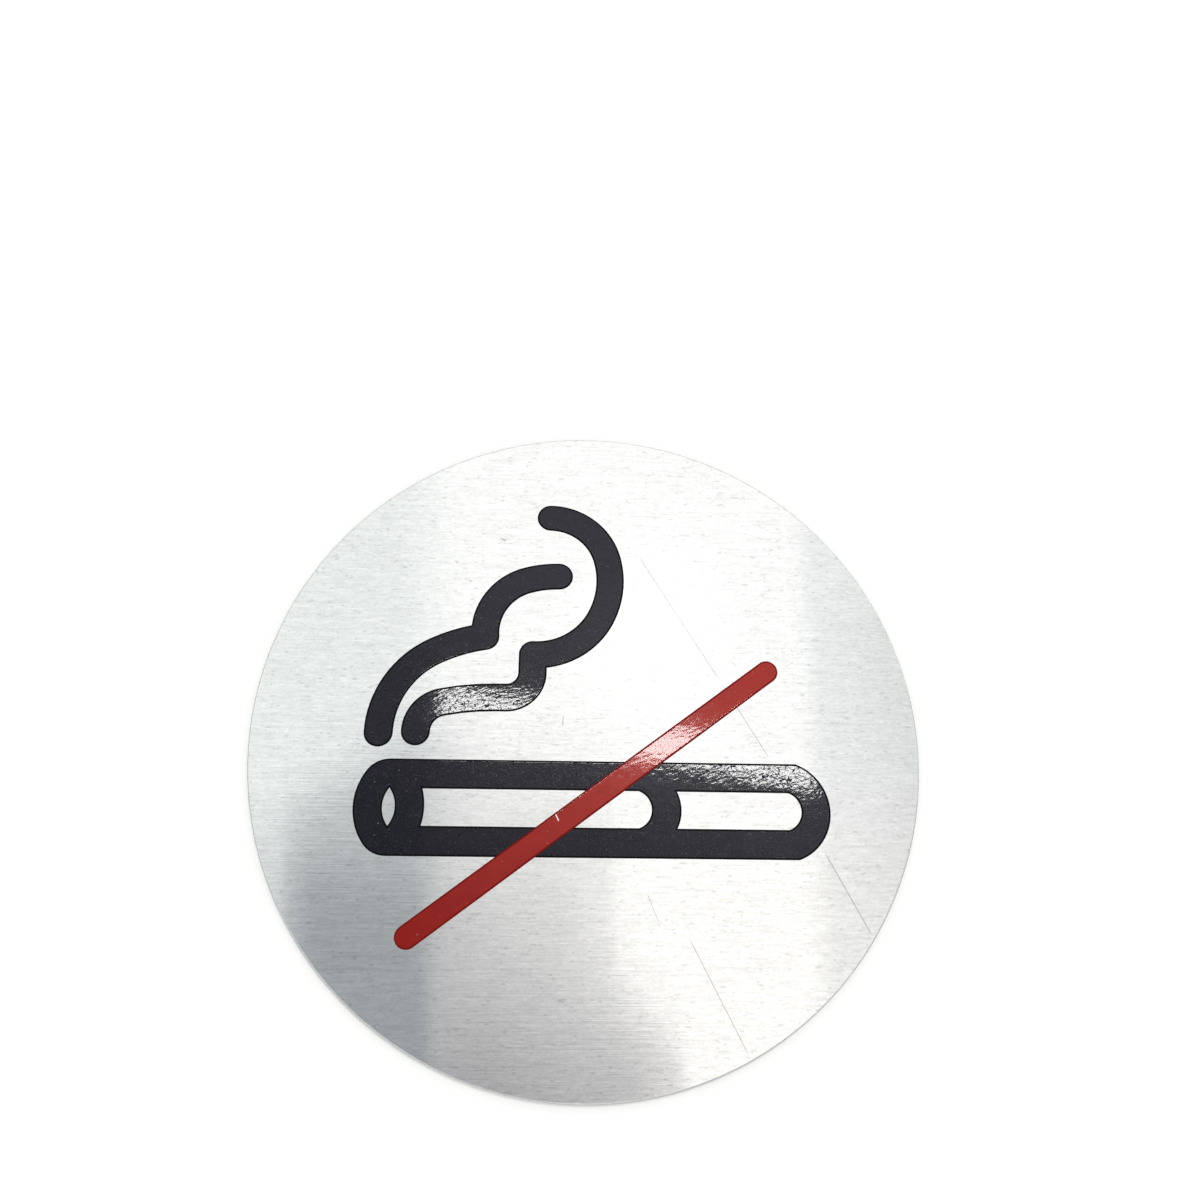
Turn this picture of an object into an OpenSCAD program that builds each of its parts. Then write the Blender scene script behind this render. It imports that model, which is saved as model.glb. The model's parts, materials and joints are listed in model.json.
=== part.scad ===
// Round metal no smoking sign, face up: a brushed disc with a printed pictogram,
// self-adhesive film on its back and release paper in two parts.
// Origin: middle of the back face. +Y points to the top of the pictogram.

/* [Disc] */
// Diameter of the metal disc
disc_d = 75; // [64:0.5:100]
// Thickness of the metal disc
disc_thick = 0.8; // [0.5:0.1:2]
// Radius of the eased edge round the face
face_edge_r = 0.2; // [0.05:0.05:0.4]

/* [Adhesive backing] */
// How far the adhesive film stays inside the rim of the disc
film_inset = 0.8; // [0.3:0.1:4]
// Thickness of the adhesive film
film_thick = 0.15; // [0.08:0.01:1]
// How far the release paper stays inside the edge of the adhesive film
liner_inset = 0; // [0:0.1:1]
// Thickness of the release paper
liner_thick = 0.1; // [0.05:0.01:0.3]
// Distance of the slit in the release paper from the middle of the disc
slit_x = 14; // [5:0.5:25]
// Width of the slit in the release paper
slit_w = 0.2; // [0.1:0.05:1]

/* [Ink] */
// Thickness of the black ink on the metal
black_thick = 0.06; // [0.03:0.01:0.2]
// Thickness of the red ink above the black ink that it crosses
red_cover = 0.06; // [0.03:0.01:0.2]

/* [Cigarette] */
// Length of the printed cigarette
cig_len = 52.6; // [48:0.1:54]
// Height of the printed cigarette
cig_h = 10.6; // [9:0.1:12]
// Distance of the cigarette's middle to the right of the disc's middle
cig_x = 0.7; // [-2:0.1:2]
// Distance of the cigarette's middle below the disc's middle
cig_drop = 7.38; // [6:0.02:9]
// Width of the black border above, below and right of the windows
cig_border = 3.27; // [2.5:0.01:3.6]
// Radius of the flat curve of the open left end
left_end_r = 6.9; // [6:0.1:9]
// Radius of the corners of the open left end
left_corner_r = 3.1; // [2:0.1:4]
// How much the radius of the right end is larger than half the height
right_end_extra = 0.35; // [0.1:0.05:1]

/* [Cigarette windows] */
// Length of the filter window, at the right
filter_len = 13.35; // [10:0.05:15]
// Distance from the left end to the middle of the tobacco window's hollow side
tobacco_x = 7.75; // [6:0.05:10]
// Width of the black band between the two windows
band_w = 3.3; // [2:0.1:5]
// How much the radius of each window's right end is larger than half its height
window_end_extra = 0.13; // [0.05:0.01:0.5]
// Radius of the hollow left side of the tobacco window
tobacco_side_r = 7.3; // [4:0.1:12]
// Radius of the hollow left side of the filter window
filter_side_r = 4.6; // [3:0.1:12]
// Distance from the left end to the middle of the tube's opening
opening_x = 3.86; // [3.4:0.02:5]
// Width of the pointed oval of the tube's opening
opening_w = 1.38; // [1:0.02:2]
// Height of the pointed oval of the tube's opening
opening_h = 4.15; // [3:0.05:5]

/* [Smoke lines] */
// Width of both smoke lines
smoke_w = 3.23; // [2:0.01:3.4]
// Distance from the left end of the cigarette to the inner line's middle
inner_x = 2.25; // [1.6:0.05:2.4]
// Gap between the cigarette and the foot of the inner line
inner_gap = 1.3; // [0.5:0.05:3]
// Radius of the inner line's first bend
inner_low_r = 10.7; // [9.5:0.05:11]
// Sweep of the inner line's first bend, in degrees
inner_low_sweep = 63; // [58:0.5:68]
// Radius of the inner line's second bend
inner_mid_r = 18.9; // [15:0.1:21]
// Sweep of the inner line's second bend, in degrees
inner_mid_sweep = 18; // [12:0.5:20]
// Direction of the inner line after its kink, in degrees from +X
inner_kink = 95; // [88:0.5:100]
// Radius of the inner line's third bend
inner_high_r = 6.65; // [5.5:0.05:7]
// Sweep of the inner line's third bend, in degrees
inner_high_sweep = 78; // [70:0.5:85]
// Radius of the inner line's last bend, which ends level
inner_end_r = 12.6; // [9:0.1:14]
// Distance from the left end of the cigarette to the outer line's middle
outer_x = 6.35; // [6.2:0.05:7]
// Gap between the cigarette and the foot of the outer line
outer_gap = 1.5; // [0.5:0.05:2.2]
// Radius of the outer line's first bend
outer_foot_r = 3.45; // [2.6:0.05:3.8]
// Sweep of the outer line's first bend, in degrees
outer_foot_sweep = 78; // [72:0.5:84]
// Radius of the outer line's second bend, which ends level
outer_run_r = 29; // [24:0.5:34]
// Length of the outer line's level stretch
outer_run_len = 1.15; // [0.5:0.05:3]
// Radius of the outer line's turn upwards
outer_turn_r = 2.95; // [2:0.05:3.5]
// Length of the outer line's upright stretch
outer_rise = 2.15; // [1.5:0.05:2.5]
// Direction of the outer line after its kink, in degrees from +X
outer_kink = -2; // [-6:0.5:4]
// Radius of the first bend of the curl
curl_low_r = 8.35; // [7.8:0.05:9]
// Sweep of the first bend of the curl, in degrees
curl_low_sweep = 64.5; // [58:0.5:70]
// Radius of the second bend of the curl
curl_side_r = 10.05; // [9.5:0.05:11]
// Sweep of the second bend of the curl, in degrees
curl_side_sweep = 43.5; // [38:0.5:48]
// Radius of the last bend of the curl, which ends level
curl_top_r = 6.9; // [6.4:0.05:7.3]

/* [Bar] */
// Length of the red bar over its round ends
bar_len = 52; // [48:0.1:56]
// Width of the red bar
bar_w = 2.6; // [2:0.1:4]
// Slope of the red bar, in degrees
bar_slope = 36.9; // [30:0.1:45]
// Height of the bar's middle above the cigarette's middle
bar_lift = 1.13; // [0:0.01:2]

/* [Hidden] */
$fn = 96;

metal_colour = [0.82, 0.84, 0.84];
black_colour = [0.13, 0.13, 0.14];
red_colour = [0.63, 0.13, 0.12];
film_colour = [0.90, 0.88, 0.80];
liner_colour = [0.95, 0.94, 0.90];

disc_r = disc_d / 2;
film_r = disc_r - film_inset;
liner_r = film_r - liner_inset;
film_z = liner_thick;
disc_z = film_z + film_thick;
face_z = disc_z + disc_thick;

cig_left = cig_x - cig_len / 2;
cig_right = cig_x + cig_len / 2;
cig_y = -cig_drop;
cig_top = cig_y + cig_h / 2;
window_h = cig_h - 2 * cig_border;
window_end_r = window_h / 2 + window_end_extra;
right_end_r = cig_h / 2 + right_end_extra;
filter_right = cig_right - cig_border;
filter_left = filter_right - filter_len;
tobacco_right = filter_left - band_w;
tobacco_left = cig_left + tobacco_x;
// Radius whose two arcs meet in the points of the tube's opening
opening_r = (pow(opening_w / 2, 2) + pow(opening_h / 2, 2)) / opening_w;

// Degrees between the points of a bend and of a round end
bend_step = 4;
cap_step = 12;
// Directions, in degrees from +X
up = 90;
level = 0;
back = 180;
// Feet of the smoke lines, as place and direction: [x, y, direction]
inner_foot = [cig_left + inner_x, cig_top + inner_gap + smoke_w / 2, up];
outer_foot = [cig_left + outer_x, cig_top + outer_gap + smoke_w / 2, up];

// A stretch of a smoke line is [size, sweep]: a bend of that radius, which turns left where the sweep is
// positive, or a straight stretch of that length where the sweep is 0. A place is [x, y, direction].
function bend_middle(place, r, sweep) =
    [place[0] - sign(sweep) * r * sin(place[2]), place[1] + sign(sweep) * r * cos(place[2])];
function on_circle(middle, r, a) = [middle[0] + r * cos(a), middle[1] + r * sin(a)];
// Point beside a place, at a distance to its left
function beside(place, distance) = on_circle(place, distance, place[2] + 90);
function turned(place, direction) = [place[0], place[1], direction];

// Place at a share of a stretch that starts at another place
function along(place, stretch, share) =
    stretch[1] == 0
    ? concat(on_circle(place, share * stretch[0], place[2]), place[2])
    : let (a = place[2] + share * stretch[1])
      concat(on_circle(bend_middle(place, stretch[0], stretch[1]), stretch[0], a - sign(stretch[1]) * 90), a);
function after(place, stretch) = along(place, stretch, 1);
// Place at the end of a chain of stretches
function chain_end(place, chain, i = 0) =
    i == len(chain) ? place : chain_end(after(place, chain[i]), chain, i + 1);

// Places along a chain, a few degrees apart in its bends
function steps(stretch) = max(1, ceil(abs(stretch[1]) / bend_step));
function chain_places(place, chain, i = 0) =
    i == len(chain)
    ? [place]
    : concat([for (j = [0:steps(chain[i]) - 1]) along(place, chain[i], j / steps(chain[i]))],
             chain_places(after(place, chain[i]), chain, i + 1));

// Line of even width with round ends along a chain of stretches
module smoke_stroke(start, chain) {
    places = chain_places(start, chain);
    last = len(places) - 1;
    left_side = [for (i = [0:last]) beside(places[i], smoke_w / 2)];
    right_side = [for (i = [last:-1:0]) beside(places[i], -smoke_w / 2)];
    end_cap = [for (a = [90 - cap_step:-cap_step:-90 + cap_step / 2])
               on_circle(places[last], smoke_w / 2, places[last][2] + a)];
    start_cap = [for (a = [-90 - cap_step:-cap_step:-270 + cap_step / 2])
                 on_circle(start, smoke_w / 2, start[2] + a)];
    polygon(concat(left_side, end_cap, right_side, start_cap));
}

module inner_smoke_outline() {
    low_chain = [[inner_low_r, -inner_low_sweep], [inner_mid_r, -inner_mid_sweep]];
    high_chain = [[inner_high_r, -inner_high_sweep], [inner_end_r, level - inner_kink + inner_high_sweep]];
    smoke_stroke(inner_foot, low_chain);
    smoke_stroke(turned(chain_end(inner_foot, low_chain), inner_kink), high_chain);
}

module outer_smoke_outline() {
    low_chain = [[outer_foot_r, -outer_foot_sweep],
                 [outer_run_r, level - up + outer_foot_sweep],
                 [outer_run_len, 0],
                 [outer_turn_r, up - level],
                 [outer_rise, 0]];
    curl_chain = [[curl_low_r, curl_low_sweep],
                  [curl_side_r, curl_side_sweep],
                  [curl_top_r, back - outer_kink - curl_low_sweep - curl_side_sweep]];
    smoke_stroke(outer_foot, low_chain);
    smoke_stroke(turned(chain_end(outer_foot, low_chain), outer_kink), curl_chain);
}

// Wedge between two angles that reaches past a circle of radius r
module wedge(r, from, sweep) {
    reach = 2 * r;
    polygon([[0, 0],
             on_circle([0, 0], reach, from),
             on_circle([0, 0], reach, from + sweep / 2),
             on_circle([0, 0], reach, from + sweep)]);
}

// Band of the height h across the whole disc, at the cigarette's height
module level_band(h) {
    translate([-disc_d / 2, cig_y - h / 2])
        square([disc_d, h]);
}

// Open left end: a flat curve with a rounded corner above and below
module left_end() {
    corner_y = cig_h / 2 - left_corner_r;
    // The corner arcs touch the flat curve from inside at this angle
    touch = asin(corner_y / (left_end_r - left_corner_r));
    corner_x = left_end_r - (left_end_r - left_corner_r) * cos(touch);
    translate([cig_left, cig_y]) {
        for (side = [-1, 1])
            translate([corner_x, side * corner_y])
                circle(r = left_corner_r);
        translate([left_end_r, 0])
            intersection() {
                circle(r = left_end_r);
                wedge(left_end_r, back - touch, 2 * touch);
            }
        translate([corner_x, -cig_h / 2])
            square([cig_len / 2, cig_h]);
    }
}

// Level bar from left to right whose right end is an arc, cut to the height h
module round_right_bar(left, right, h, end_r) {
    intersection() {
        level_band(h);
        union() {
            translate([left, cig_y - h / 2])
                square([right - end_r - left, h]);
            translate([right - end_r, cig_y])
                circle(r = end_r);
        }
    }
}

// Window whose left side is a hollow arc; left is the place of the arc's middle
module window(left, right, side_r) {
    difference() {
        round_right_bar(left - side_r, right, window_h, window_end_r);
        translate([left - side_r, cig_y])
            circle(r = side_r);
    }
}

// Pointed oval between two arcs
module tube_opening() {
    translate([cig_left + opening_x, cig_y])
        intersection() {
            translate([opening_r - opening_w / 2, 0])
                circle(r = opening_r);
            translate([opening_w / 2 - opening_r, 0])
                circle(r = opening_r);
        }
}

module cigarette_outline() {
    difference() {
        union() {
            left_end();
            round_right_bar(cig_x, cig_right, cig_h, right_end_r);
        }
        window(tobacco_left, tobacco_right, tobacco_side_r);
        window(filter_left, filter_right, filter_side_r);
        tube_opening();
    }
}

module bar_outline() {
    straight = bar_len - bar_w;
    translate([cig_x, cig_y + bar_lift])
        rotate(bar_slope) {
            translate([-straight / 2, -bar_w / 2])
                square([straight, bar_w]);
            for (side = [-1, 1])
                translate([side * straight / 2, 0])
                    circle(d = bar_w);
        }
}

// Layer of ink on the face of the disc
module ink(thick) {
    translate([0, 0, face_z])
        linear_extrude(thick)
            children();
}

module face_plate() {
    color(metal_colour)
        translate([0, 0, disc_z])
            rotate_extrude() {
                square([disc_r - face_edge_r, disc_thick]);
                square([disc_r, disc_thick - face_edge_r]);
                translate([disc_r - face_edge_r, disc_thick - face_edge_r])
                    circle(r = face_edge_r);
            }
}

module cigarette_print() {
    color(black_colour)
        ink(black_thick)
            cigarette_outline();
}

module inner_smoke_print() {
    color(black_colour)
        ink(black_thick)
            inner_smoke_outline();
}

module outer_smoke_print() {
    color(black_colour)
        ink(black_thick)
            outer_smoke_outline();
}

// The red ink lies on the metal and steps up over the black ink
module bar_print() {
    color(red_colour)
        difference() {
            ink(black_thick + red_cover)
                bar_outline();
            ink(black_thick)
                cigarette_outline();
        }
}

module adhesive_film() {
    color(film_colour)
        translate([0, 0, film_z])
            cylinder(r = film_r, h = film_thick);
}

// Part of the release paper between two places along X
module liner_part(left, right) {
    color(liner_colour)
        intersection() {
            cylinder(r = liner_r, h = liner_thick);
            translate([left, -disc_d / 2, 0])
                cube([right - left, disc_d, liner_thick]);
        }
}

module liner_large() {
    liner_part(-disc_d / 2, slit_x - slit_w / 2);
}

module liner_small() {
    liner_part(slit_x + slit_w / 2, disc_d / 2);
}

face_plate();
cigarette_print();
inner_smoke_print();
outer_smoke_print();
bar_print();
adhesive_film();
liner_large();
liner_small();
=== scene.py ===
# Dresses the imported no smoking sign: brushed metal, raised glossy ink, adhesive film and
# release paper, on a pale floor in soft light. Lengths are in metres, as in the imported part;
# the patterns of the materials are in millimetres.
import json
import math

import bpy
from mathutils import Matrix, Vector, geometry

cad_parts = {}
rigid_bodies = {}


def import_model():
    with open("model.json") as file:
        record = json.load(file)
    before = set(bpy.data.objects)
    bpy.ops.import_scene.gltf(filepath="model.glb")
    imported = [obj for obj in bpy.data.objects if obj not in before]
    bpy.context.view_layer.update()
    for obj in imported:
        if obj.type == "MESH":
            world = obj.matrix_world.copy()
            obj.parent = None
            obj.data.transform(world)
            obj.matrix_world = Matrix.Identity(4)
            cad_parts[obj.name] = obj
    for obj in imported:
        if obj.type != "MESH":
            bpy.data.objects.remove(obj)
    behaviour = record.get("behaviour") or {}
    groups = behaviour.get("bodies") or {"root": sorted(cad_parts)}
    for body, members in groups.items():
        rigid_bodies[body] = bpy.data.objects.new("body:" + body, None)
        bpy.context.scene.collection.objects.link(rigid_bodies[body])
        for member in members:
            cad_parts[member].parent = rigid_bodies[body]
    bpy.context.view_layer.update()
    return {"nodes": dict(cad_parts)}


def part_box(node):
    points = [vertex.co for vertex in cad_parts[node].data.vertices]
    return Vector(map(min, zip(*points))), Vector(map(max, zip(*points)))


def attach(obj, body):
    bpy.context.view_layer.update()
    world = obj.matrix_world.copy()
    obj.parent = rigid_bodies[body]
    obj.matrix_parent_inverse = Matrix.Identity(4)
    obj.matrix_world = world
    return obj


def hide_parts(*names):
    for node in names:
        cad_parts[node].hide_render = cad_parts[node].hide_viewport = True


MM = 0.001
PER_MM = 1000.0
NOISE_MIDDLE = (0.35, 0.65)
NOISE_WIDE_MIDDLE = (0.3, 0.7)

# Camera: height and side that it looks from, its roll, and its place above the disc's middle
CAM_ELEVATION = 71.0
CAM_AZIMUTH = -9.0
CAM_ROLL = 9.74
CAM_PLACE = Vector((-5.85, -28.02, 133.15)) * MM
LENS = 36.0
SENSOR = 36.0
CLIP = (0.005, 50.0)

# Ink: the rounded edge of each printed shape
EDGE_W = 0.2 * MM
EDGE_STEPS = 5
EDGE_LIP = 0.03 * MM
SHORTEST_EDGE = 0.22 * MM
FEWEST_POINTS = 8
CORNER_TURN = 24.0
CORNER_LONGEST = 2.0
SAME_POINT = 0.001 * MM
TOP_WITHIN = 0.002 * MM

# Ink: how its top reflects, and its unevenness as noises per mm
INK_IOR = 1.32
HAZE = 0.08
HAZE_ROUGHNESS = 0.25
INK_RELIEF = 0.0022 * MM
INK_SWELL = (0.45, 0.8, 0.0)
SWELL_HEIGHT = 1.5
INK_RIPPLES = (1.1, 2.6, 0.0)
RIPPLE_HEIGHT = 1.5
RIPPLE_TURN = -20.0
INK_FINE = (3.4, 6.0, 0.0)
FINE_HEIGHT = 0.35
CRACK_CELLS = (1.3, 2.7, 0.0)
CRACK_BORDER = (0.01, 0.07)
CRACK_WANDER = 0.6
CRACK_WANDER_PER_MM = 1.3
CRACK_GAPS = (1.4, 2.4, 3.0)
CRACK_GAP_EDGE = (0.42, 0.58)
FOLDS = (1.9, 3.6, 0.0)
FOLD_WIDTH = 0.025
# Painted light: the ink tops are drawn paler along this direction, as if lit more there
PALER_TOWARD = (0.6, 0.8, 0.0)
PATCHES = (0.35, 0.6, 0.0)
PATCH_SHARE = 0.12
SPECKS = (3.1, 3.1, 0.0)
SPECK_EDGE = (0.8, 0.84)
SPECK_SHARE = 0.12
SPECK_TONE = 0.6
NICK = ((-3.65, -7.7), (-3.15, -8.75), 0.09)
NICK_COLOUR = (0.85, 0.8, 0.8)

# Ink: its rounded edge
RAGGED = (3.5, 3.5, 0.0)
EDGE_ROUGHNESS = (0.42, 0.55)
EDGE_RELIEF = 0.01 * MM

# Ink colours; pales is where an ink goes from deep to pale, in mm along PALER_TOWARD. This
# deep-to-pale ramp is painted light: the top is drawn lighter on the side where more light would
# fall.
BLACK = {
    "deep": (0.0020, 0.0018, 0.0078),
    "pale": (0.0142, 0.0136, 0.0225),
    "pales": (-6.0, 14.0),
    "rough": 0.03,
    "cracked": 1.0,
    "wavy": 1.0,
    "swell_shift": 0.0,
    "specular": 0.5,
    "nick": None,
    "edge_deep": (0.003, 0.003, 0.0035),
    "edge_pale": (0.009, 0.009, 0.01),
}
RED = {
    "deep": (0.228, 0.0085, 0.0065),
    "pale": (0.318, 0.018, 0.012),
    "pales": (-24.0, 4.0),
    "rough": 0.045,
    "cracked": 0.1,
    "wavy": 0.75,
    "swell_shift": 7.0,
    "specular": 0.38,
    "nick": NICK,
    # Darker red along the rounded edge: painted shade
    "edge_deep": (0.11, 0.006, 0.005),
    "edge_pale": (0.22, 0.012, 0.009),
}

# Metal: radius of the face, lines of the brushing as rows per mm, dashes per mm of a row and
# a seed, and the share of each pattern in the grain
RIM_RADIUS = 37.5
RIM_CUT = (0.2, 0.1)
ROW_SPREAD = 13.37
LONG_LINES = (1.1, 0.04, 3.7)
LINES = (3.1, 0.2, 11.3)
THIN_LINES = (5.9, 0.22, 53.9)
FINE_LINES = (4.7, 0.95, 29.9)
DASHES = (5.3, 1.0, 71.3)
DULL_LINES = (6.1, 0.22, 43.1)
GRIT = (3.0, 6.0, 0.0)
CLOUD = (0.12, 0.2, 0.0)
FINE_SHARE = 0.3
THIN_SHARE = 0.26
LINE_SHARE = 0.1
LONG_SHARE = 0.05
GRIT_SHARE = 0.23
CLOUD_SHARE = 0.06
METAL_DARKER = (0.66, 0.665, 0.67)
LIGHT_DASHES = (0.64, 0.76)
LIGHT_DASH_SHARE = 0.5
DARK_DASHES = (0.38, 0.26)
DARK_DASH_SHARE = 0.45
DARK_DASH_COLOUR = (0.5, 0.5, 0.49)
DULL_RANGE = (0.35, 0.75)
METAL_ROUGHNESS = (0.045, 0.072)
CUT_TONES = (0.62, 0.78)
CUT_ROUGHNESS = 0.5
METAL_RELIEF = 0.005 * MM
STREAKS = (0.07, 4.4, 0.0)
STREAK_HEIGHT = 0.55
FINE_STREAKS = (0.2, 8.5, 0.0)
FINE_STREAK_HEIGHT = 0.3

# Scratches on the face: start, end and width in mm
SCRATCHES = (
    ((5.6, 22.8), (15.2, 7.2), 0.07),
    ((15.2, 7.2), (20.4, -1.5), 0.07),
    ((26.0, -11.6), (30.8, -20.7), 0.08),
    ((10.8, -20.7), (17.0, -32.8), 0.07),
    ((6.5, -16.4), (7.7, -19.4), 0.05),
    ((-2.8, 3.1), (-2.9, 1.9), 0.08),
    ((-10.5, 24.3), (-9.8, 24.0), 0.12),
    ((-15.7, 21.3), (-15.3, 21.1), 0.1),
    ((-14.0, 19.0), (-13.6, 18.8), 0.1),
    ((-35.7, -14.2), (-34.9, -13.4), 0.1),
)
SCRATCH_TONE = 0.3
SCRATCH_SHARE = 0.65
SCRATCH_CORE = 0.35
SCRATCH_TAPER = 0.08

# Adhesive film
FILM_CLOUD = (0.6, 0.6, 0.6)
FILM_COLOURS = ((0.74, 0.72, 0.64), (0.82, 0.80, 0.74))
FILM_CELLS_PER_MM = 3.2
FILM_ROUGHNESS = (0.42, 0.56)
FILM_RELIEF = 0.01 * MM

# Release paper
PAPER_CLOUD = (0.25, 0.3, 0.3)
PAPER_COLOURS = ((0.79, 0.76, 0.66), (0.87, 0.85, 0.78))
PAPER_FIBRES = (1.1, 7.0, 4.0)
FIBRE_EDGE = (0.55, 0.75)
FIBRE_SHARE = 0.25
FIBRE_COLOUR = (0.68, 0.63, 0.52)
PAPER_ROUGHNESS = (0.38, 0.55)
PAPER_RELIEF = 0.006 * MM
PAPER_CLOUD_HEIGHT = 2.0

# Floor
FLOOR_TONE = 0.96
FLOOR_DARKER = 0.98
FLOOR_CLOUD = (0.02, 0.02, 0.0)
FLOOR_ROUGHNESS = 0.9
FLOOR_HALF = 6.0
FLOOR_LOW = -0.02 * MM

# Lamp: a long one, above and behind the sign
LAMP_HEIGHT = 1.0
LAMP_PLACE = Vector((0.083, 0.2181))
LAMP_SIZE = Vector((0.3675, 0.034))
LAMP_TURN = -10.3
LAMP_RADIANCE = 50.0
LAMP_COLOUR = (1.0, 0.995, 0.98)

# Room: its walls by the height of a direction. Overhead, a direction is given by how far it
# goes across (to the right) and beyond (away from the camera) for each metre that it rises.
WALL_HEIGHTS = (0.3, 0.62)
WALL_TONES = (0.66, 1.17)
WALL_FOOT = (0.28, 0.18)
WALL_FOOT_TONE = 1.05
WALL_DRIFT = 0.1
WALL_DRIFT_SCALE = 1.3
WALL_TINT = (1.0, 0.995, 0.985)
CEILING_EDGE = (0.7, 1.6)
LEAST_RISE = 0.02

# Ceiling: its tints, and a dim strip on the far right
LEFT_TINT = (0.975, 1.008, 0.995)
RIGHT_NEAR_TINT = (1.01, 1.01, 0.985)
RIGHT_FAR_TINT = (0.985, 1.0, 1.0)
LEFT_TO_RIGHT = (-0.25, 0.25)
NEAR_TO_FAR = (0.06, 0.26)
DIM_STRIP = (0.25, 0.33)
DIM_STRIP_SHARE = 0.12

# Ceiling: the dark corner. Each border is a step and a slower fade, and slants or bends.
CORNER_SHADE = (-1.26, -1.235, -1.19)
CORNER_DEPTH = (0.475, 0.34)
CORNER_DEPTH_ACROSS = (-0.065, 0.06)
CORNER_NEARER_DEPTH = 0.17
CORNER_NEARER = (-0.06, 0.01)
CORNER_NEARER_ACROSS = (-0.12, -0.03)
CORNER_END = (-0.5, -0.2)
RIGHT_STEP = (0.071, 0.06)
RIGHT_FADE = (0.1, 0.005)
RIGHT_STEP_SHARE = 0.45
RIGHT_BEND_FROM = 0.026
RIGHT_BEND_LONGEST = -0.065
RIGHT_BEND_SLANT = 0.85
LEFT_STEP = (-0.197, -0.189)
LEFT_FADE = (-0.189, -0.169)
LEFT_STEP_SHARE = 0.62
LEFT_SLANT = 0.08
LEFT_SHARE = 0.57
TOP_STEP = (0.186, 0.148)
TOP_FADE = (0.15, 0.07)
TOP_STEP_SHARE = 0.62
TOP_SLANT = -0.6
TOP_SLANT_ABOUT = 0.182
TOP_FADE_ON_RIGHT = (0.235, 0.02)
TOP_RIGHT_TO_LEFT = (-0.02, -0.12)

# Ceiling: the bright band, soft on its left and more so further off, with a glow in it
BAND_COLOUR = (0.18, 0.16, 0.15)
BAND_START = 0.0795
BAND_SLANT = 0.045
BAND_SOFTNESS = 0.012
BAND_SOFTER = 0.06
BAND_END = (0.222, 0.25)
BAND_STRENGTH = (1.08, 1.17)
BAND_STRENGTH_ACROSS = (-0.07, 0.06)
GLOW_PLACE = (0.1, 0.31, 0.0)
GLOW_RADIUS = 0.1
GLOW_STRENGTH = 2.0


def shader_tree(owner):
    """The empty node tree of a material or world."""
    owner.use_nodes = True
    owner.node_tree.nodes.clear()
    return owner.node_tree


class Graph:
    """Short calls for one node tree; a value is a number, a colour or an output socket."""

    def __init__(self, tree):
        self.tree = tree

    def put(self, socket, value):
        """Gives a socket its value; None leaves it as it is."""
        if isinstance(value, bpy.types.NodeSocket):
            self.tree.links.new(value, socket)
        elif value is not None:
            socket.default_value = value

    def node(self, kind, inputs=None, **settings):
        made = self.tree.nodes.new("ShaderNode" + kind)
        for name, value in settings.items():
            setattr(made, name, value)
        for name, value in (inputs or {}).items():
            self.put(made.inputs[name], value)
        return made

    def calc(self, operation, a, b=None, c=None, clamp=False):
        made = self.node("Math", operation=operation, use_clamp=clamp)
        for socket, value in zip(made.inputs, (a, b, c)):
            self.put(socket, value)
        return made.outputs[0]

    def vector(self, operation, a, b=None, scale=None):
        made = self.node("VectorMath", operation=operation)
        self.put(made.inputs[0], a)
        self.put(made.inputs[1], b)
        if scale is not None:
            self.put(made.inputs["Scale"], scale)
        return made.outputs["Value" if operation in ("DOT_PRODUCT", "LENGTH") else "Vector"]

    def ramp(self, value, start, end, low=0.0, high=1.0, smooth=True):
        """low where the value is at start, high where it is at end, and between them between."""
        kind = "SMOOTHSTEP" if smooth else "LINEAR"
        ends = {"Value": value, "From Min": start, "From Max": end, "To Min": low, "To Max": high}
        return self.node("MapRange", ends, interpolation_type=kind).outputs[0]

    def both(self, share, a, b):
        """Two numbers mixed: share of a, and the rest of b."""
        ends = {"Factor": share, "A": b, "B": a}
        return self.node("Mix", ends, data_type="FLOAT").outputs[0]

    def mix(self, share, a, b):
        """Two colours mixed: share of b, and the rest of a."""
        made = self.node("Mix", data_type="RGBA", blend_type="MIX")
        self.put(made.inputs[0], share)
        self.put(made.inputs[6], a)
        self.put(made.inputs[7], b)
        return made.outputs[2]

    def noise(self, place, stretch, detail=2.0, rough=0.5):
        """Noise that is stretched: the larger a number of stretch, the finer it is that way."""
        moved = self.vector("MULTIPLY", place, stretch)
        found = {"Vector": moved, "Scale": 1.0, "Detail": detail, "Roughness": rough}
        return self.node("TexNoise", found).outputs[0]


def colour(r, g, b):
    return (r, g, b, 1.0)


def grey(tone):
    return colour(tone, tone, tone)


WHITE = grey(1.0)
BLANK = grey(0.0)


def new_material(name):
    made = bpy.data.materials.new(name)
    return made, Graph(shader_tree(made))


def place_in_mm(graph):
    """The point of the surface in millimetres, in the part's own frame."""
    coords = graph.node("TexCoord").outputs["Object"]
    return graph.vector("SCALE", coords, scale=PER_MM)


def bump(graph, height, depth):
    ends = {"Strength": 1.0, "Distance": depth, "Height": height}
    return graph.node("Bump", ends).outputs[0]


def principled(graph, **inputs):
    """A principled shader, with its inputs given by name in lower case."""
    shader = graph.node("BsdfPrincipled")
    for name, value in inputs.items():
        graph.put(shader.inputs[name.replace("_", " ").title().replace("Ior", "IOR")], value)
    return shader.outputs[0]


def show(graph, shader, output="OutputMaterial"):
    """Makes a shader the one that the material or world shows."""
    graph.put(graph.node(output).inputs["Surface"], shader)


def link(name, data):
    """A new object of the scene."""
    made = bpy.data.objects.new(name, data)
    bpy.context.scene.collection.objects.link(made)
    return made


# Brushed metal


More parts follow.
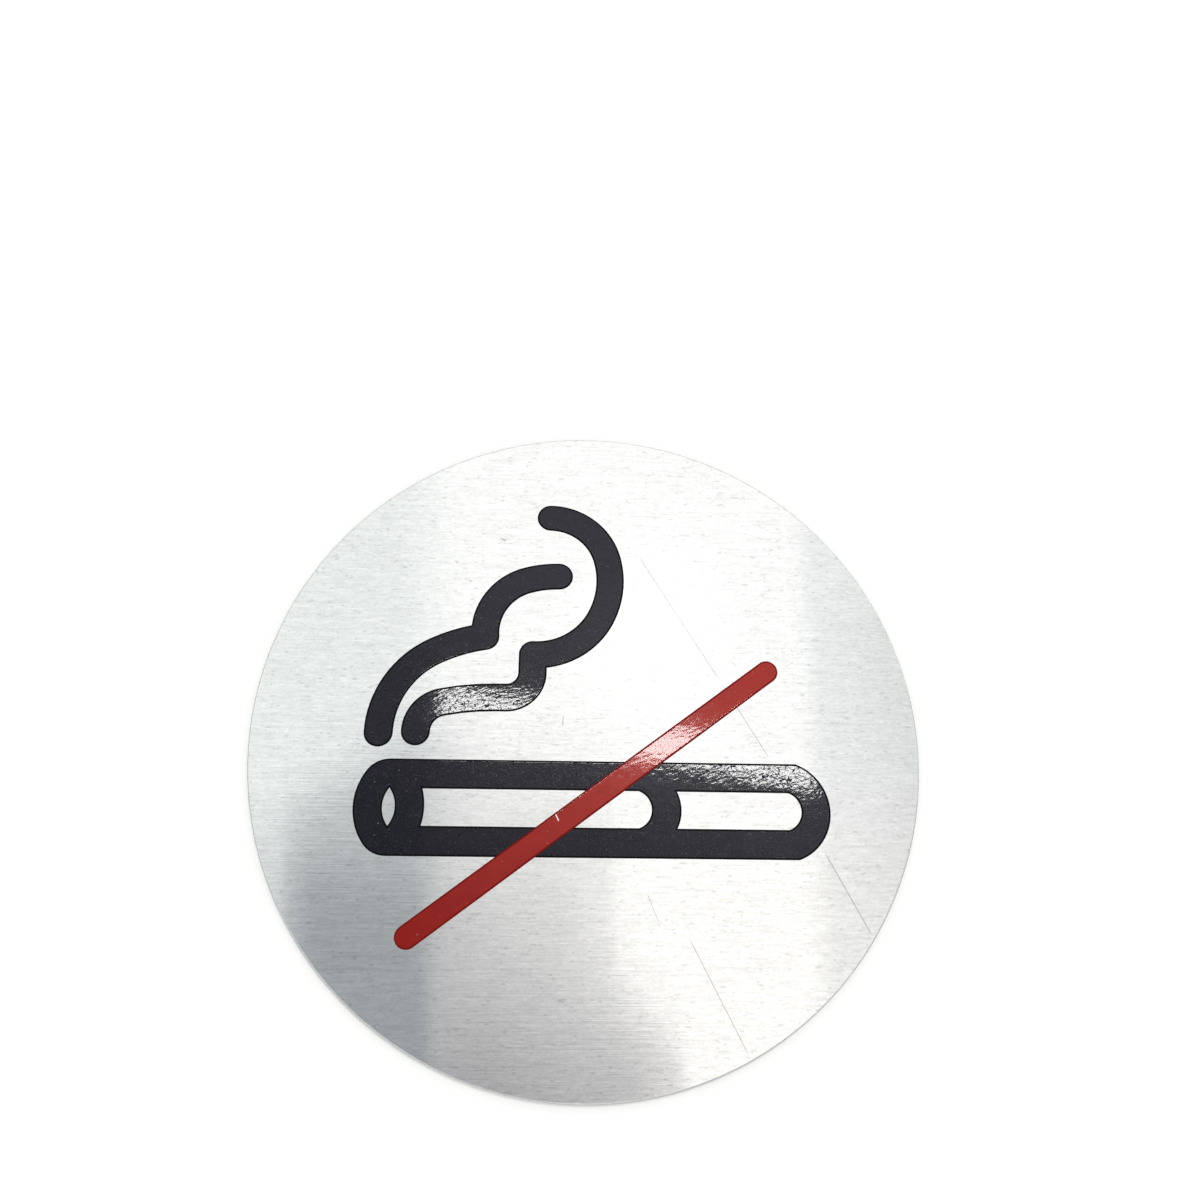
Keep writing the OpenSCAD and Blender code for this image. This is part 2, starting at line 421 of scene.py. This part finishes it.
def hairline(graph, place, start, end, width):
    """1 on a thin straight scratch between two points of the face, 0 away from it."""
    ax, ay = start
    bx, by = end
    along = Vector((bx - ax, by - ay, 0.0))
    length = along.length
    along.normalize()
    offset = graph.vector("SUBTRACT", place, (ax, ay, 0.0))
    run = graph.vector("DOT_PRODUCT", offset, tuple(along))
    side = graph.vector("DOT_PRODUCT", offset, (-along.y, along.x, 0.0))
    near = graph.ramp(graph.calc("ABSOLUTE", side), SCRATCH_CORE * width, width, 1.0, 0.0)
    begun = graph.ramp(run, 0.0, SCRATCH_TAPER * length)
    ended = graph.ramp(run, (1.0 - SCRATCH_TAPER) * length, length, 1.0, 0.0)
    return graph.calc("MULTIPLY", near, graph.calc("MULTIPLY", begun, ended))


def brush_lines(graph, place, per_mm, along, seed):
    """Straight brushing lines: each thin row has its own run of lighter and darker dashes."""
    parts = graph.node("SeparateXYZ", {"Vector": place})
    row = graph.calc("FLOOR", graph.calc("MULTIPLY", parts.outputs["Y"], per_mm))
    run = graph.calc("MULTIPLY", parts.outputs["X"], along)
    apart = graph.calc("MULTIPLY_ADD", row, ROW_SPREAD, seed)
    spot = graph.node("CombineXYZ", {"X": run, "Y": apart, "Z": 0.0}).outputs[0]
    return graph.noise(spot, (1.0, 1.0, 1.0), detail=1.0)


def brushed_metal():
    """Steel brushed along X, with short light and dark dashes, and a duller cut edge."""
    made, g = new_material("brushed_metal")
    p = place_in_mm(g)
    dashes = brush_lines(g, p, *DASHES)
    light = g.ramp(dashes, *LIGHT_DASHES, 0.0, LIGHT_DASH_SHARE)
    dark = g.ramp(dashes, *DARK_DASHES, 0.0, DARK_DASH_SHARE)
    grit = g.noise(p, GRIT, detail=1.0)
    grain = g.calc("MULTIPLY", brush_lines(g, p, *FINE_LINES), FINE_SHARE)
    for layer, share in (
        (brush_lines(g, p, *THIN_LINES), THIN_SHARE),
        (brush_lines(g, p, *LINES), LINE_SHARE),
        (brush_lines(g, p, *LONG_LINES), LONG_SHARE),
        (grit, GRIT_SHARE),
        (g.noise(p, CLOUD), CLOUD_SHARE),
    ):
        grain = g.calc("MULTIPLY_ADD", layer, share, grain)
    grain = g.ramp(grain, *NOISE_WIDE_MIDDLE, smooth=False)
    metal = g.mix(grain, colour(*METAL_DARKER), WHITE)
    metal = g.mix(light, metal, WHITE)
    metal = g.mix(dark, metal, colour(*DARK_DASH_COLOUR))
    marks = 0.0
    for start, end, width in SCRATCHES:
        marks = g.calc("MAXIMUM", marks, hairline(g, p, start, end, width))
    metal = g.mix(g.calc("MULTIPLY", marks, SCRATCH_SHARE), metal, grey(SCRATCH_TONE))
    outward = g.vector("LENGTH", g.vector("MULTIPLY", p, (1.0, 1.0, 0.0)))
    cut = g.ramp(outward, *(RIM_RADIUS - inward for inward in RIM_CUT))
    metal = g.mix(cut, metal, g.mix(grit, *(grey(tone) for tone in CUT_TONES)))
    dull = g.ramp(brush_lines(g, p, *DULL_LINES), *DULL_RANGE)
    dull = g.ramp(dull, 0.0, 1.0, *METAL_ROUGHNESS)
    relief = g.calc("MULTIPLY", g.noise(p, STREAKS), STREAK_HEIGHT)
    fine = g.noise(p, FINE_STREAKS, detail=1.0)
    relief = g.calc("MULTIPLY_ADD", fine, FINE_STREAK_HEIGHT, relief)
    shader = principled(
        g,
        base_color=metal,
        metallic=1.0,
        roughness=g.calc("MAXIMUM", dull, g.calc("MULTIPLY", cut, CUT_ROUGHNESS)),
        anisotropic=1.0,
        tangent=g.node("CombineXYZ", {"X": 0.0, "Y": 1.0, "Z": 0.0}).outputs[0],
        normal=bump(g, relief, METAL_RELIEF),
    )
    show(g, shader)
    return made


# Ink


def top_outlines(node):
    """The closed outlines of a CAD node's top face as lists of points, ink on their left."""
    mesh = node.data
    top = max(v.co.z for v in mesh.vertices)
    spots = {}

    def spot(index):
        co = mesh.vertices[index].co
        key = (round(co.x / SAME_POINT), round(co.y / SAME_POINT))
        return spots.setdefault(key, (key, Vector((co.x, co.y))))[0]

    edges = set()
    for face in mesh.polygons:
        if all(mesh.vertices[i].co.z > top - TOP_WITHIN for i in face.vertices):
            ring = [spot(i) for i in face.vertices]
            edges.update(zip(ring, ring[1:] + ring[:1]))
    after = {a: b for a, b in edges if (b, a) not in edges and a != b}
    outlines = []
    while after:
        start, here = min(after.items())
        outline = [start]
        del after[start]
        while here != start:
            outline.append(here)
            here = after.pop(here)
        outlines.append([spots[k][1] for k in outline])
    return outlines, top


def turn_at(points, i):
    """How far the outline turns at point i, in degrees, to the left above 0."""
    before = points[i] - points[i - 1]
    beyond = points[(i + 1) % len(points)] - points[i]
    return math.degrees(-before.angle_signed(beyond, 0.0))


def evened(points):
    """The outline without edges too short for its rounded rim; its corners stay."""
    kept = [(p, abs(turn_at(points, i)) > CORNER_TURN) for i, p in enumerate(points)]
    i = 0
    while i < len(kept) and len(kept) > FEWEST_POINTS:
        (a, a_corner), (b, b_corner) = kept[i], kept[(i + 1) % len(kept)]
        if (b - a).length < SHORTEST_EDGE and not (a_corner and b_corner):
            kept.pop(i if b_corner else (i + 1) % len(kept))
        else:
            i += 1
    return [p for p, _ in kept]


def inset(points, distance):
    """The outline moved into the ink by a distance, with mitred corners."""
    moved = []
    for i, point in enumerate(points):
        before = (point - points[i - 1]).normalized()
        beyond = (points[(i + 1) % len(points)] - point).normalized()
        left_a = Vector((-before.y, before.x))
        left_b = Vector((-beyond.y, beyond.x))
        middle = (left_a + left_b).normalized()
        reach = 1.0 / max(1.0 / CORNER_LONGEST, middle.dot(left_a))
        moved.append(point + middle * distance * reach)
    return moved


def printed_shape(name, node, low, materials):
    """A printed shape on a node's own outlines: its edge is rounded down to height low."""
    outlines, top = top_outlines(node)
    verts, faces, cap_loops, cap_index, on_rim = [], [], [], [], []
    for points in (evened(outline) for outline in outlines):
        count = len(points)
        rings = []
        for step in range(EDGE_STEPS + 2):
            angle = math.pi / 2 * min(step, EDGE_STEPS) / EDGE_STEPS
            inward = EDGE_W * (1 - math.cos(angle)) + (EDGE_LIP if step > EDGE_STEPS else 0.0)
            height = low + (top - low) * math.sin(angle)
            rings.append(len(verts))
            verts += [(q.x, q.y, height) for q in inset(points, inward)]
        for step, (lower, upper) in enumerate(zip(rings, rings[1:])):
            for i in range(count):
                j = (i + 1) % count
                faces.append((lower + i, lower + j, upper + j, upper + i))
                on_rim.append(int(step < EDGE_STEPS))
        cap_index += [rings[-1] + i for i in range(count)]
        cap_loops.append([Vector(verts[rings[-1] + i]) for i in range(count)])
    for triangle in geometry.tessellate_polygon(cap_loops):
        corners = [cap_index[i] for i in triangle]
        a, b, c = (Vector(verts[i]) for i in corners)
        if (b - a).cross(c - a).z < 0:
            corners.reverse()
        faces.append(tuple(corners))
    mesh = bpy.data.meshes.new(name)
    mesh.from_pydata(verts, [], faces)
    mesh.shade_smooth()
    for material in materials:
        mesh.materials.append(material)
    for face, rim in zip(mesh.polygons, on_rim):
        face.material_index = rim
    return link(name, mesh)


def ink_cracks(g, p, turned):
    """1 in fine cracks of the ink, which are broken cell borders, and in its thin folds."""
    found = {"Vector": p, "Scale": CRACK_WANDER_PER_MM, "Detail": 2.0}
    wander = g.node("TexNoise", found).outputs["Color"]
    bent = g.vector("ADD", p, g.vector("SCALE", wander, scale=CRACK_WANDER))
    stretched = g.vector("MULTIPLY", bent, CRACK_CELLS)
    cells = g.node("TexVoronoi", {"Vector": stretched, "Scale": 1.0}, feature="DISTANCE_TO_EDGE")
    borders = g.ramp(cells.outputs["Distance"], *CRACK_BORDER, 1.0, 0.0)
    broken = g.ramp(g.noise(p, CRACK_GAPS, detail=1.0), *CRACK_GAP_EDGE)
    waves = g.noise(turned, FOLDS, rough=0.6)
    level = g.calc("ABSOLUTE", g.calc("SUBTRACT", waves, 0.5))
    folds = g.ramp(level, 0.0, FOLD_WIDTH, 1.0, 0.0)
    return g.calc("MAXIMUM", g.calc("MULTIPLY", borders, broken), folds)


def gloss_ink(name, ink):
    """The flat top of the ink: glossy, with the fine unevenness of a screen print, and painted
    light that draws it paler toward one side.
    """
    made, g = new_material(name)
    p = place_in_mm(g)
    turn = {"Vector": p, "Axis": (0.0, 0.0, 1.0), "Angle": math.radians(RIPPLE_TURN)}
    turned = g.node("VectorRotate", turn).outputs[0]
    shifted = g.vector("ADD", p, (ink["swell_shift"], 0.0, 0.0))
    swell = g.noise(shifted, INK_SWELL, detail=1.0)
    ripples = g.noise(turned, INK_RIPPLES, detail=1.0)
    fine = g.noise(p, INK_FINE, detail=1.0)
    relief = g.calc("MULTIPLY", ripples, RIPPLE_HEIGHT)
    relief = g.calc("MULTIPLY_ADD", swell, SWELL_HEIGHT, relief)
    relief = g.calc("MULTIPLY_ADD", fine, FINE_HEIGHT, relief)
    # Painted light: the ink is drawn paler toward one side, as if lit more there; the random
    # patches are the ink's own
    painted_light_ramp = g.ramp(g.vector("DOT_PRODUCT", p, PALER_TOWARD), *ink["pales"], smooth=False)
    patches = g.noise(p, PATCHES, detail=3.0)
    patchy = g.ramp(patches, *NOISE_MIDDLE, -PATCH_SHARE, PATCH_SHARE)
    painted_light_and_patches = g.calc("ADD", painted_light_ramp, patchy, clamp=True)
    tone = g.mix(painted_light_and_patches, colour(*ink["deep"]), colour(*ink["pale"]))
    specks = g.ramp(g.noise(p, SPECKS, detail=0.0), *SPECK_EDGE, 0.0, SPECK_SHARE)
    tone = g.mix(specks, tone, grey(SPECK_TONE))
    if ink["nick"]:
        tone = g.mix(hairline(g, p, *ink["nick"]), tone, colour(*NICK_COLOUR))
    cracked = g.calc("MULTIPLY", ink_cracks(g, p, turned), ink["cracked"])
    shader = principled(
        g,
        base_color=tone,
        roughness=g.calc("MAXIMUM", cracked, ink["rough"]),
        ior=INK_IOR,
        specular_ior_level=ink["specular"],
        coat_weight=HAZE,
        coat_roughness=HAZE_ROUGHNESS,
        coat_ior=INK_IOR,
        normal=bump(g, relief, INK_RELIEF * ink["wavy"]),
    )
    show(g, shader)
    return made


def ink_rim(name, ink):
    """The rounded edge of the ink, where it rounds down thinner: less glossy, and for the red ink
    drawn darker, which is painted shade along the edge.
    """
    made, g = new_material(name)
    ragged = g.noise(place_in_mm(g), RAGGED, detail=3.0)
    shader = principled(
        g,
        # Edge colour: for the red ink darker than its top, which is painted shade along the edge
        base_color=g.mix(ragged, colour(*ink["edge_deep"]), colour(*ink["edge_pale"])),
        roughness=g.ramp(ragged, *NOISE_WIDE_MIDDLE, *EDGE_ROUGHNESS),
        specular_ior_level=0.0,
        normal=bump(g, ragged, EDGE_RELIEF),
    )
    show(g, shader)
    return made


# Backing


def adhesive_film():
    """Soft, slightly cloudy acrylic adhesive."""
    made, g = new_material("adhesive_film")
    p = place_in_mm(g)
    cloud = g.noise(p, FILM_CLOUD, detail=3.0)
    cells = g.node("TexVoronoi", {"Vector": p, "Scale": FILM_CELLS_PER_MM})
    shader = principled(
        g,
        base_color=g.mix(cloud, *(colour(*c) for c in FILM_COLOURS)),
        roughness=g.ramp(cloud, *NOISE_WIDE_MIDDLE, *FILM_ROUGHNESS),
        normal=bump(g, cells.outputs["Distance"], FILM_RELIEF),
    )
    show(g, shader)
    return made


def release_paper():
    """Cream siliconed paper with its fibres along X."""
    made, g = new_material("release_paper")
    p = place_in_mm(g)
    cloud = g.noise(p, PAPER_CLOUD, detail=4.0, rough=0.6)
    fibres = g.noise(p, PAPER_FIBRES, detail=3.0, rough=0.65)
    darker = g.ramp(fibres, *FIBRE_EDGE, 0.0, FIBRE_SHARE)
    tone = g.mix(cloud, *(colour(*c) for c in PAPER_COLOURS))
    tone = g.mix(darker, tone, colour(*FIBRE_COLOUR))
    shader = principled(
        g,
        base_color=tone,
        roughness=g.ramp(fibres, *NOISE_WIDE_MIDDLE, *PAPER_ROUGHNESS),
        normal=bump(g, g.calc("MULTIPLY_ADD", cloud, PAPER_CLOUD_HEIGHT, fibres), PAPER_RELIEF),
    )
    show(g, shader)
    return made


# Floor, light and camera


def pale_floor():
    """A large pale floor just under the sign, clear when it is seen from below."""
    made, g = new_material("pale_floor")
    cloud = g.noise(place_in_mm(g), FLOOR_CLOUD, detail=3.0)
    tone = g.mix(cloud, grey(FLOOR_DARKER * FLOOR_TONE), grey(FLOOR_TONE))
    top = principled(g, base_color=tone, roughness=FLOOR_ROUGHNESS, specular_ior_level=0.0)
    from_below = g.node("NewGeometry").outputs["Backfacing"]
    clear = g.node("BsdfTransparent").outputs[0]
    show(g, g.node("MixShader", {0: from_below, 1: top, 2: clear}).outputs[0])
    mesh = bpy.data.meshes.new("floor")
    sides = ((-1, -1), (1, -1), (1, 1), (-1, 1))
    corners = [(x * FLOOR_HALF, y * FLOOR_HALF, FLOOR_LOW) for x, y in sides]
    mesh.from_pydata(corners, [], [(0, 1, 2, 3)])
    mesh.materials.append(made)
    floor = link("floor", mesh)
    # Light from below reaches the release paper through it
    floor.visible_diffuse = False
    floor.visible_shadow = False
    return floor


def dark_corner(g, across, beyond):
    """How dark the ceiling is in its dark corner, and 0 outside it."""
    bend = g.calc("MAXIMUM", g.calc("SUBTRACT", beyond, RIGHT_BEND_FROM), RIGHT_BEND_LONGEST)
    way = g.calc("MULTIPLY_ADD", g.calc("MINIMUM", bend, 0.0), RIGHT_BEND_SLANT, across)
    right = g.both(RIGHT_STEP_SHARE, g.ramp(way, *RIGHT_STEP), g.ramp(way, *RIGHT_FADE))
    way = g.calc("MULTIPLY_ADD", beyond, LEFT_SLANT, across)
    left = g.both(LEFT_STEP_SHARE, g.ramp(way, *LEFT_STEP), g.ramp(way, *LEFT_FADE))
    left = g.both(LEFT_SHARE, left, 1.0)
    way = g.calc("MULTIPLY_ADD", g.calc("ADD", across, TOP_SLANT_ABOUT), TOP_SLANT, beyond)
    top = g.both(TOP_STEP_SHARE, g.ramp(way, *TOP_STEP), g.ramp(beyond, *TOP_FADE))
    top_on_right = g.ramp(beyond, *TOP_FADE_ON_RIGHT, smooth=False)
    top = g.both(g.ramp(across, *TOP_RIGHT_TO_LEFT), top, top_on_right)
    low = g.ramp(beyond, *CORNER_END)
    inside = g.calc("MULTIPLY", g.calc("MULTIPLY", right, left), g.calc("MULTIPLY", top, low))
    depth = g.ramp(across, *CORNER_DEPTH_ACROSS, *CORNER_DEPTH, smooth=False)
    nearer = g.ramp(beyond, *CORNER_NEARER, CORNER_NEARER_DEPTH, 0.0, smooth=False)
    nearer = g.calc("MULTIPLY", nearer, g.ramp(across, *CORNER_NEARER_ACROSS))
    return g.calc("MULTIPLY", inside, g.calc("ADD", depth, nearer))


def bright_band(g, across, beyond):
    """How bright the band of light along the ceiling is, and 0 outside it."""
    softness = g.calc("MULTIPLY_ADD", g.calc("MAXIMUM", beyond, 0.0), BAND_SOFTER, BAND_SOFTNESS)
    inward = g.calc("ADD", g.calc("MULTIPLY_ADD", beyond, BAND_SLANT, across), BAND_START)
    begun = g.ramp(g.calc("DIVIDE", inward, softness), -1.0, 1.0)
    band = g.calc("MULTIPLY", begun, g.ramp(across, *BAND_END, 1.0, 0.0))
    spot = g.node("CombineXYZ", {"X": across, "Y": beyond, "Z": 0.0}).outputs[0]
    off = g.vector("LENGTH", g.vector("SUBTRACT", spot, GLOW_PLACE))
    glow = g.ramp(off, 0.0, GLOW_RADIUS, GLOW_STRENGTH, 0.0)
    strength = g.ramp(across, *BAND_STRENGTH_ACROSS, *BAND_STRENGTH)
    strength = g.calc("ADD", strength, glow)
    return g.calc("MULTIPLY", band, strength)


def ceiling_light(g, across, beyond):
    """The colour of the light from overhead."""
    farther = g.ramp(beyond, *NEAR_TO_FAR)
    right_tint = g.mix(farther, colour(*RIGHT_NEAR_TINT), colour(*RIGHT_FAR_TINT))
    dim = g.ramp(across, *DIM_STRIP, 0.0, DIM_STRIP_SHARE)
    right_tint = g.mix(dim, right_tint, BLANK)
    tint = g.mix(g.ramp(across, *LEFT_TO_RIGHT), colour(*LEFT_TINT), right_tint)
    shade = g.vector("SCALE", CORNER_SHADE, scale=dark_corner(g, across, beyond))
    tone = g.vector("MULTIPLY", tint, g.vector("ADD", (1.0, 1.0, 1.0), shade))
    band = g.vector("SCALE", BAND_COLOUR, scale=bright_band(g, across, beyond))
    return g.vector("ADD", tone, band)


def wall_light(g, toward, height):
    """The colour of the light from the sides: greyer in the middle, and bright at the foot."""
    found = {"Vector": toward, "Scale": WALL_DRIFT_SCALE, "Detail": 0.0}
    drift = g.node("TexNoise", found).outputs[0]
    drift = g.ramp(drift, *NOISE_MIDDLE, -WALL_DRIFT, WALL_DRIFT)
    tone = g.calc("ADD", g.ramp(height, *WALL_HEIGHTS, *WALL_TONES), drift)
    tone = g.both(g.ramp(height, *WALL_FOOT), WALL_FOOT_TONE, tone)
    return g.vector("SCALE", WALL_TINT, scale=tone)


def room_light():
    """A bright even room; overhead are a band of light, and a dark corner to its left."""
    world = bpy.data.worlds.new("room")
    bpy.context.scene.world = world
    g = Graph(shader_tree(world))
    toward = g.node("TexCoord").outputs["Generated"]
    parts = g.node("SeparateXYZ", {"Vector": toward}).outputs
    rise = g.calc("MAXIMUM", parts["Z"], LEAST_RISE)
    across = g.calc("DIVIDE", parts["X"], rise)
    beyond = g.calc("DIVIDE", parts["Y"], rise)
    far = g.calc("MAXIMUM", g.calc("ABSOLUTE", across), g.calc("ABSOLUTE", beyond))
    overhead = g.ramp(far, *CEILING_EDGE, 1.0, 0.0)
    walls = wall_light(g, toward, parts["Z"])
    tone = g.mix(overhead, walls, ceiling_light(g, across, beyond))
    shine = g.node("Background", {"Color": tone, "Strength": 1.0})
    show(g, shine.outputs[0], "OutputWorld")


def lamp(lit):
    """The long lamp, which lights only the given objects."""
    light = bpy.data.lights.new("lamp", "AREA")
    light.shape = "RECTANGLE"
    light.size, light.size_y = LAMP_SIZE
    light.energy = LAMP_RADIANCE * math.pi * LAMP_SIZE.x * LAMP_SIZE.y
    light.color = LAMP_COLOUR
    holder = link("lamp", light)
    holder.location = (LAMP_PLACE.x, LAMP_PLACE.y, LAMP_HEIGHT)
    holder.rotation_euler = (0.0, 0.0, math.radians(LAMP_TURN))
    catches = bpy.data.collections.new("catches_lamp")
    for piece in lit:
        catches.objects.link(piece)
    holder.light_linking.receiver_collection = catches


def camera():
    """The camera, which looks down on the sign from its lower edge, turned a little."""
    e, a, r = (math.radians(d) for d in (CAM_ELEVATION, CAM_AZIMUTH, CAM_ROLL))
    back = Vector((math.sin(a) * math.cos(e), -math.cos(a) * math.cos(e), math.sin(e)))
    level = Vector((math.cos(a), math.sin(a), 0.0))
    above = back.cross(level)
    right = math.cos(r) * level + math.sin(r) * above
    up = -math.sin(r) * level + math.cos(r) * above
    data = bpy.data.cameras.new("camera")
    data.lens = LENS
    data.sensor_width = SENSOR
    data.clip_start, data.clip_end = CLIP
    holder = link("camera", data)
    turn = Matrix((right, up, back)).transposed()
    holder.matrix_world = Matrix.Translation(CAM_PLACE) @ turn.to_4x4()
    bpy.context.scene.camera = holder


def main():
    for thing in list(bpy.data.objects):
        bpy.data.objects.remove(thing)
    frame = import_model()
    nodes = frame["nodes"]
    face_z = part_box("face_plate")[1].z
    black = (gloss_ink("black_gloss_ink", BLACK), ink_rim("black_ink_rim", BLACK))
    red = (gloss_ink("red_gloss_ink", RED), ink_rim("red_ink_rim", RED))
    inks = []
    for name, node, materials, slot in (
        ("cigarette_ink", "cigarette_print", black, "black_ink"),
        ("inner_smoke_ink", "inner_smoke_print", black, "black_ink"),
        ("outer_smoke_ink", "outer_smoke_print", black, "black_ink"),
        ("bar_ink", "bar_print", red, "red_ink"),
    ):
        piece = printed_shape(name, nodes[node], face_z, materials)
        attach(piece, "root")
        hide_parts(node)
        inks.append(piece)
    paper = release_paper()
    finishes = {
        "face_plate": brushed_metal(),
        "adhesive_film": adhesive_film(),
        "liner_large": paper,
        "liner_small": paper,
    }
    for node, material in finishes.items():
        nodes[node].material_slots[0].material = material
    floor = pale_floor()
    room_light()
    lamp(inks + [floor])
    camera()
    bpy.context.scene.view_settings.view_transform = "Standard"


main()
